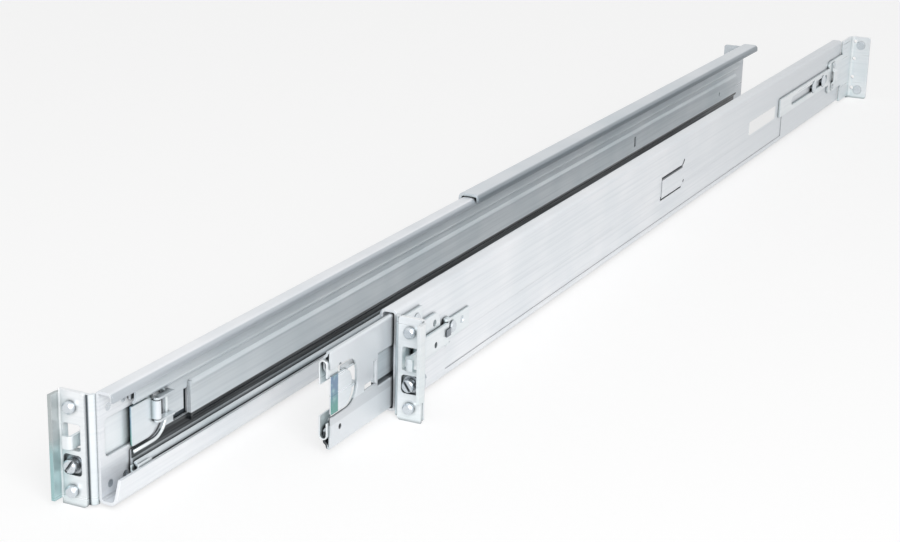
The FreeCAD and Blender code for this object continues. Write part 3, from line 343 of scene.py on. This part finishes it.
def front_bracket_zinc():
    """The front brackets: plated as the others, with a painted dark line of shade beside the plate's edge."""
    material, tree, surface, coordinates, colour = bracket_zinc(
        "zinc_plated_front_angle", "EEF1F4", "E2E9EC", 0.25)
    outboard = rail_frame(tree, coordinates)[0]
    normal = add(tree, "ShaderNodeNewGeometry").outputs["Normal"]
    forward = add(tree, "ShaderNodeSeparateXYZ", [(0, normal)]).outputs["Y"]
    # Painted shade: faces that point forward beside the plate's edge darken towards 5E666B.
    seam_shade = both(tree, ramp(tree, forward, *FACES_FRONT), band(tree, outboard, *SEAM_SHADE_LINE, SEAM_SHADE_FADE))
    # Painted shade is laid over the colour in its seams and corners.
    return shade_corners(material, tree, surface, blend(tree, colour, "5E666B", seam_shade))


# The front plate's outboard lip: where it starts, the heights over which its film turns from
# blue-green to grey, and how thick the film is on each side.
PLATE_LIP = (12.8, 13.2)
FILM_CHANGE = (-2.0, 4.0)
LIP_FILM = {"left": 0.8, "right": 0.1}


def front_plate_zinc(side):
    """A front plate, whose outboard lip keeps a film that is dull grey above and blue-green below."""
    material, tree, surface, coordinates, colour = bracket_zinc(
        side + "_zinc_plated_front_plate", "F2F4F6", "E9EEF0", 0.15)
    outboard, _, height = rail_frame(tree, coordinates)
    film = blend(tree, "7FB0B2", "98A2A2", ramp(tree, height, *FILM_CHANGE))
    lip = ramp(tree, outboard, *PLATE_LIP, 0.0, LIP_FILM[side])
    # Painted shade is laid over the colour in its seams and corners.
    return shade_corners(material, tree, surface, blend(tree, colour, film, lip))


# Paint mark on a release lever: its length with its soft end, the depths between which the lever's
# outboard face sets in, the heights over which the paint turns bluer, and its brush marks' size and
# detail, where they set in and how pale they are.
MARK_LENGTH, MARK_FADE = 4.9, 0.3
MARK_FACE = (-2.2, -1.9)
PAINT_CHANGE = (-2.0, 5.0)
BRUSH_MARK, BRUSH_FADE, BRUSH_PALE = (3, 3.0), (0.5, 0.75), 0.6


def lever_zinc(side):
    """A release lever with a teal touch mark brushed on the front of its outboard face."""
    material, tree, surface, coordinates, colour = bracket_zinc(
        side + "_lever_sheet_with_touch_mark", "E6EAEE", "D6DFE3", 0.3)
    outboard, rearward, height = rail_frame(tree, coordinates)
    front = rail_box(side + "_release_lever")[0][1] + RAIL_ORIGIN[side][1] - RAIL_ORIGIN["left"][1]
    end = front + MARK_LENGTH
    mark = both(tree, ramp(tree, rearward, end - MARK_FADE, end, 1.0, 0.0), ramp(tree, outboard, *MARK_FACE))
    paint = blend(tree, "5F9890", "6C85A0", ramp(tree, height, *PAINT_CHANGE))
    brushed = ramp(tree, clouds(tree, coordinates, *BRUSH_MARK), *BRUSH_FADE, 0.0, BRUSH_PALE)
    paint = blend(tree, paint, "A9CFC9", brushed)
    tree.links.new(ramp(tree, mark, 0.0, 1.0, SHEET_METALLIC, 0.0), surface.inputs["Metallic"])
    # Painted shade is laid over the colour in its seams and corners.
    return shade_corners(material, tree, surface, blend(tree, colour, paint, mark))


# Small turned or stamped steel: how metallic it is, its grain's detail, and the grain's relief.
TURNED_METALLIC = 0.9
GRAIN_DETAIL = 4.0
GRAIN_STRENGTH, GRAIN_DEPTH = 0.2, 0.01


def metal(name, colour, roughness, grit):
    """Plain plated or ground steel with a fine grain of a stated size in millimetres."""
    material, tree, surface, coordinates = shader(name, colour, TURNED_METALLIC, roughness)
    grain = clouds(tree, coordinates, grit, GRAIN_DETAIL)
    smoother, rougher = TURNED_GLOSS
    rough = ramp(tree, grain, *GLOSS_FADE, roughness - smoother, roughness + rougher)
    tree.links.new(rough, surface.inputs["Roughness"])
    raised(tree, surface, grain, GRAIN_STRENGTH, GRAIN_DEPTH)
    # Painted shade is laid over the colour in its seams and corners.
    return shade_corners(material, tree, surface, colour)


# Turned and cold-headed steel, bright zinc plated: mirror-like with a fine grain.
turned_zinc = metal("bright_zinc_plated_turned_steel", "D4DADF", 0.28, 0.3)
# Through-hardened and lapped balls.
ball_steel = metal("polished_bearing_steel", "D8DADC", 0.12, 0.2)
# Stamped and tumbled strip, left grey.
cage_steel = metal("stamped_cage_steel", "AEB4BA", 0.35, 0.4)
# Blue-grey hardened strip, bare.
spring_steel = metal("bare_spring_strip", "8A9097", 0.32, 0.3)

# Finish of each node, by the first of these words that its name holds.
FINISHES = [("balls", ball_steel), ("cage", cage_steel), ("spring", spring_steel)]
FINISHES += [(word, turned_zinc) for word in ("rivets", "pin", "pegs", "screw")]
FINISHES += [("outer_rail", outer_rail_zinc()), ("middle_rail", middle_rail_zinc())]
FINISHES += [("left_rear_bracket", sleeve_zinc()), ("front_bracket", front_bracket_zinc())]
FINISHES += [(side + "_front_plate", front_plate_zinc(side)) for side in OUTBOARD]
FINISHES += [(side + "_release_lever", lever_zinc(side)) for side in OUTBOARD]
plain_zinc = plain_bracket_zinc()
FINISHES.append(("", plain_zinc))

for node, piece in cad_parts.items():
    finish = next(material for word, material in FINISHES if word in node)
    piece.data.materials.clear()
    piece.data.materials.append(finish)


# Decimals of a millimetre by which the places of edges and faces are told apart.
PLACE_DECIMALS = 4


def put_in_order(elements, place_of):
    """Sorts a mesh's edges or faces by place, because a swept shape gets them in a chance order."""
    ranked = sorted(elements, key=lambda element: [round(c, PLACE_DECIMALS) for c in place_of(element)])
    ranks = {element: rank for rank, element in enumerate(ranked)}
    elements.sort(key=ranks.get)


def finish_piece(mesh, name, side, body, material):
    """Turns a mesh drawn in a rail's own frame into a piece that rides on a body."""
    put_in_order(mesh.edges, lambda edge: (edge.verts[0].co + edge.verts[1].co) / 2)
    put_in_order(mesh.faces, lambda face: face.calc_center_median())
    for vert in mesh.verts:
        vert.co = place(side, *vert.co)
    mesh.normal_update()
    bmesh.ops.recalc_face_normals(mesh, faces=mesh.faces)
    data = bpy.data.meshes.new(name)
    mesh.to_mesh(data)
    mesh.free()
    piece = bpy.data.objects.new(name, data)
    bpy.context.collection.objects.link(piece)
    data.materials.append(material)
    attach(piece, body)
    return piece


# Ripples in the label's film: their size, detail, strength and depth.
RIPPLE_SIZE, RIPPLE_DETAIL = 6, 1.0
RIPPLE_STRENGTH, RIPPLE_DEPTH = 0.1, 0.05


def label_film():
    """White polyester film label: smooth and satin, with faint ripples."""
    material, tree, surface, coordinates = shader("white_polyester_label", "FFFFFF", 0.0, 0.3)
    ripple = clouds(tree, coordinates, RIPPLE_SIZE, RIPPLE_DETAIL)
    raised(tree, surface, ripple, RIPPLE_STRENGTH, RIPPLE_DEPTH)
    surface.inputs["Coat Weight"].default_value = 0.6
    surface.inputs["Coat Roughness"].default_value = 0.2
    return material


# Blank adhesive label on the right rail's outboard face: its span along the rail and in height, its
# thickness, how far it lies off the web, and its corners' radius.
LABEL_SPAN = (458.0, 511.0)
LABEL_HEIGHT = (-2.5, 5.7)
LABEL_THICK, LABEL_LIFT = 0.08, 0.01
LABEL_CORNER = 1.0


def blank_label():
    """A flat label with rounded corners."""
    mesh = bmesh.new()
    bmesh.ops.create_cube(mesh, size=1.0)
    size = (LABEL_THICK, LABEL_SPAN[1] - LABEL_SPAN[0], LABEL_HEIGHT[1] - LABEL_HEIGHT[0])
    bmesh.ops.scale(mesh, vec=size, verts=mesh.verts)
    through = [e for e in mesh.edges if abs(e.verts[0].co.x - e.verts[1].co.x) > LABEL_THICK / 2]
    bmesh.ops.bevel(mesh, geom=through, offset=LABEL_CORNER, segments=4, profile=0.5, affect="EDGES",
                    material=-1)
    centre = (LABEL_THICK / 2 + LABEL_LIFT, sum(LABEL_SPAN) / 2, sum(LABEL_HEIGHT) / 2)
    bmesh.ops.translate(mesh, vec=centre, verts=mesh.verts)
    finish_piece(mesh, "right_blank_label", "right", "outer_rails", label_film())


blank_label()


def loose_end(made):
    """The edges and points of a new stretch, to go on from."""
    return [g for g in made if isinstance(g, (bmesh.types.BMVert, bmesh.types.BMEdge))]


def run(mesh, end, step):
    """Carries an open end of a swept shape straight on."""
    edges = [g for g in end if isinstance(g, bmesh.types.BMEdge)]
    end = loose_end(bmesh.ops.extrude_edge_only(mesh, edges=edges)["geom"])
    bmesh.ops.translate(mesh, vec=step, verts=[g for g in end if isinstance(g, bmesh.types.BMVert)])
    return end


def turn(mesh, end, centre, axis, degrees, steps, rise=(0, 0, 0)):
    """Carries an open end of a swept shape round a centre."""
    made = bmesh.ops.spin(mesh, geom=end, cent=centre, axis=axis, angle=math.radians(degrees), steps=steps,
                          dvec=rise)["geom_last"]
    return loose_end(made)


def close_ends(mesh):
    """Caps the open ends of a swept shape."""
    bmesh.ops.holes_fill(mesh, edges=[e for e in mesh.edges if e.is_boundary], sides=0)


# Steps of a rounded stretch, and points round the rim's section.
BEND_STEPS = 10
RIM_POINTS = 12

# The notch in the middle rail's front end: how far back it reaches, its lowest and highest places and
# its corners' radius.
NOTCH_REAR, NOTCH_LOW, NOTCH_HIGH, NOTCH_CORNER = 20.8, -6.0, 13.4, 8.0

# Rolled rim round that notch, on the inboard face of the rail's web: how far it lies outside the
# notch, its half width and half height, and how far behind the front edge it starts and ends.
RIM_OUT, RIM_HALF, RIM_RISE = 0.9, 0.75, 0.75
RIM_START, RIM_END = 10.5, 0.6
MIDDLE_INNER = -2.55


def notch_rim(side):
    """A round bead that follows the notch's upper, rear and lower edges."""
    front = rail_box(side + "_middle_rail")[0][1]
    mesh = bmesh.new()
    bmesh.ops.create_circle(mesh, segments=RIM_POINTS, radius=1.0)
    bmesh.ops.scale(mesh, vec=(RIM_RISE, RIM_HALF, 1.0), verts=mesh.verts)
    bmesh.ops.rotate(mesh, matrix=Matrix.Rotation(math.radians(90), 3, "X"), verts=mesh.verts)
    start = (MIDDLE_INNER, front + RIM_START, NOTCH_HIGH + RIM_OUT)
    bmesh.ops.translate(mesh, vec=start, verts=mesh.verts)
    corner_y = front + NOTCH_REAR - NOTCH_CORNER
    end = list(mesh.verts) + list(mesh.edges)
    end = run(mesh, end, (0, corner_y - start[1], 0))
    end = turn(mesh, end, (0, corner_y, NOTCH_HIGH - NOTCH_CORNER), (1, 0, 0), -90, BEND_STEPS)
    end = run(mesh, end, (0, 0, NOTCH_LOW - NOTCH_HIGH + 2 * NOTCH_CORNER))
    end = turn(mesh, end, (0, corner_y, NOTCH_LOW + NOTCH_CORNER), (1, 0, 0), -90, BEND_STEPS)
    run(mesh, end, (0, front + RIM_END - corner_y, 0))
    close_ends(mesh)
    piece = finish_piece(mesh, side + "_notch_rim", side, side + "_middle", plain_zinc)
    for face in piece.data.polygons:
        face.use_smooth = True


# Guide shoes, loops of thin strip in the mouth of the middle rail's front end: the depths of the
# inboard and the outboard leg, their span from ahead of the rail's front edge to behind it, and the
# strip's thickness. Then, for each shoe, the heights of its bend and of its two legs' tips. The upper
# shoe shows on the right alone.
SHOE_LEGS = (-5.9, -2.8)
SHOE_SPAN = (-1.4, 7.0)
SHOE_STRIP = 0.6
UPPER_SHOE = (16.9, 7.2, 10.0)
LOWER_SHOE = {"right": (-14.6, -5.2, -8.0), "left": (-14.4, -10.4, -11.4)}


def guide_shoe(side, name, heights):
    """A strip bent round in a half circle with two legs, the inboard one longer."""
    bend, inboard_tip, outboard_tip = heights
    front = rail_box(side + "_middle_rail")[0][1]
    radius = (SHOE_LEGS[1] - SHOE_LEGS[0]) / 2
    way = 1 if bend > inboard_tip else -1
    bend_start = bend - way * radius
    mesh = bmesh.new()
    first = mesh.verts.new((SHOE_LEGS[0], front + SHOE_SPAN[0], inboard_tip))
    bent = bmesh.ops.extrude_vert_indiv(mesh, verts=[first])["verts"]
    bmesh.ops.translate(mesh, vec=(0, 0, bend_start - inboard_tip), verts=bent)
    centre = (sum(SHOE_LEGS) / 2, front + SHOE_SPAN[0], bend_start)
    arc = bmesh.ops.spin(mesh, geom=bent, cent=centre, axis=(0, 1, 0), angle=way * math.pi,
                         steps=BEND_STEPS)["geom_last"]
    last = [g for g in arc if isinstance(g, bmesh.types.BMVert)]
    leg = bmesh.ops.extrude_vert_indiv(mesh, verts=last)["verts"]
    bmesh.ops.translate(mesh, vec=(0, 0, outboard_tip - bend_start), verts=leg)
    run(mesh, list(mesh.edges), (0, SHOE_SPAN[1] - SHOE_SPAN[0], 0))
    piece = finish_piece(mesh, side + "_" + name, side, side + "_middle", plain_zinc)
    wall = piece.modifiers.new("strip", "SOLIDIFY")
    wall.thickness = SHOE_STRIP * MM
    wall.offset = 0.0
    edge = piece.modifiers.new("rolled_edge", "BEVEL")
    edge.width = SHOE_STRIP * MM / 4
    edge.segments = 2


# Rolled thread on the captive screws behind their nuts, drawn coarser than M4 so that it shows: the
# shank's diameter, the thread's pitch, its height over the shank and its feet's depth in it, how far
# behind the nut it starts, and its steps in a turn.
SCREW_SHANK = 4.0
THREAD_PITCH, THREAD_HEIGHT, THREAD_ROOT = 0.8, 0.3, 0.1
THREAD_GAP, THREAD_STEPS = 0.3, 18


def screw_thread(side):
    """A ridge wound round the screw's free end."""
    low, high = rail_box(side + "_front_screw")
    nut_rear = rail_box(side + "_screw_nut")[1][1]
    centre_u, centre_z = (low[0] + high[0]) / 2, (low[2] + high[2]) / 2
    radius = SCREW_SHANK / 2
    foot, crest = radius - THREAD_ROOT, radius + THREAD_HEIGHT
    mesh = bmesh.new()
    start = nut_rear + THREAD_GAP
    ridge = [(foot, 0), (crest, THREAD_PITCH / 4), (foot, THREAD_PITCH / 2)]
    points = [mesh.verts.new((centre_u + r, start + y, centre_z)) for r, y in ridge]
    mesh.faces.new(points)
    end = list(mesh.verts) + list(mesh.edges)
    turns = int((high[1] - start - THREAD_PITCH) / THREAD_PITCH)
    turn(mesh, end, (centre_u, start, centre_z), (0, 1, 0), 360 * turns, THREAD_STEPS * turns,
         (0, THREAD_PITCH / THREAD_STEPS, 0))
    close_ends(mesh)
    finish_piece(mesh, side + "_screw_thread", side, side + "_screw", turned_zinc)


for side in OUTBOARD:
    notch_rim(side)
    guide_shoe(side, "lower_guide_shoe", LOWER_SHOE[side])
    screw_thread(side)
guide_shoe("right", "upper_guide_shoe", UPPER_SHOE)


# Studio: a pale floor that reads white to the camera and keeps the rails' soft shadow. Its reach in
# metres, its colour where it lights things and where it is seen, its own glow where it is seen, and
# how much the white surround lights things.
FLOOR_REACH = 6.0
PAPER_LIT, PAPER_SEEN, PAPER_GLOW = "EEEEEE", "9A9A9A", 0.68
DIFFUSE_LEVEL = 0.45
WHITE = "FFFFFF"


def seen_directly(tree):
    """1 for rays from the camera and for mirror rays, 0 for the rays that light things."""
    path = add(tree, "ShaderNodeLightPath").outputs
    rays = [(0, path["Is Camera Ray"]), (1, path["Is Glossy Ray"])]
    return add(tree, "ShaderNodeMath", rays, operation="MAXIMUM").outputs[0]


def studio_floor():
    """A wide sheet of paper under the rails."""
    mesh = bmesh.new()
    bmesh.ops.create_grid(mesh, x_segments=1, y_segments=1, size=FLOOR_REACH)
    data = bpy.data.meshes.new("studio_floor")
    mesh.to_mesh(data)
    mesh.free()
    floor = bpy.data.objects.new("studio_floor", data)
    bpy.context.collection.objects.link(floor)
    material, tree, surface, _ = shader("white_seamless_paper", PAPER_LIT, 0.0, 0.95)
    surface.inputs["Emission Color"].default_value = linear(WHITE)
    seen = seen_directly(tree)
    tree.links.new(blend(tree, PAPER_LIT, PAPER_SEEN, seen), surface.inputs["Base Color"])
    tree.links.new(ramp(tree, seen, 0.0, 1.0, 0.0, PAPER_GLOW), surface.inputs["Emission Strength"])
    data.materials.append(material)


def white_surround():
    """An even white all round, dimmer where it lights things than where it is seen."""
    world = bpy.data.worlds.new("white_studio")
    bpy.context.scene.world = world
    world.use_nodes = True
    tree = world.node_tree
    surround = tree.nodes["Background"]
    surround.inputs["Color"].default_value = linear(WHITE)
    level = ramp(tree, seen_directly(tree), 0.0, 1.0, DIFFUSE_LEVEL, 1.0)
    tree.links.new(level, surround.inputs["Strength"])


def softbox(name, position, aim, size, power):
    """A rectangular soft light."""
    lamp = bpy.data.lights.new(name, "AREA")
    lamp.shape = "RECTANGLE"
    lamp.size, lamp.size_y = size
    lamp.energy = power
    holder = bpy.data.objects.new(name, lamp)
    holder.location = position
    holder.rotation_euler = (Vector(aim) - Vector(position)).to_track_quat("-Z", "Y").to_euler()
    bpy.context.collection.objects.link(holder)


# Key light: place, aim and size in metres, and power in watts.
KEY_PLACE, KEY_AIM = (0.75, -1.15, 0.65), (0, -0.25, 0)
KEY_SIZE, KEY_POWER = (1.0, 1.0), 14.5

studio_floor()
white_surround()
softbox("key_softbox", KEY_PLACE, KEY_AIM, KEY_SIZE, KEY_POWER)

# Camera: the photo's width and its focal length in pixels, its heading, tilt and roll in degrees, its
# viewpoint in the right rail's own frame, its film width, and the near and far ends of its view in
# metres.
PHOTO_WIDTH, FOCAL_PIXELS = 900.0, 1900.0
HEADING, TILT, ROLL = 25.697, 17.794, 1.458
VIEWPOINT = (324.697, -627.625, 265.971)
FILM_WIDTH = 36.0
VIEW_START, VIEW_END = 0.01, 50.0


def photo_camera():
    """A camera that stands where the photo was taken from."""
    lens = bpy.data.cameras.new("photo_camera")
    lens.sensor_width = FILM_WIDTH
    lens.lens = FOCAL_PIXELS / PHOTO_WIDTH * lens.sensor_width
    lens.clip_start, lens.clip_end = VIEW_START, VIEW_END
    heading, tilt, roll = (math.radians(a) for a in (HEADING, TILT, ROLL))
    ahead = Vector((-math.sin(heading), math.cos(heading), 0))
    level = Vector((math.cos(heading), math.sin(heading), 0))
    forward = math.cos(tilt) * ahead - Vector((0, 0, math.sin(tilt)))
    upright = level.cross(forward)
    across = math.cos(roll) * level + math.sin(roll) * upright
    above = -math.sin(roll) * level + math.cos(roll) * upright
    turned = Matrix((across, above, -forward)).transposed().to_4x4()
    holder = bpy.data.objects.new("photo_camera", lens)
    holder.matrix_world = Matrix.Translation(place("right", *VIEWPOINT)) @ turned
    bpy.context.collection.objects.link(holder)
    bpy.context.scene.camera = holder


photo_camera()
bpy.context.scene.view_settings.view_transform = "Standard"
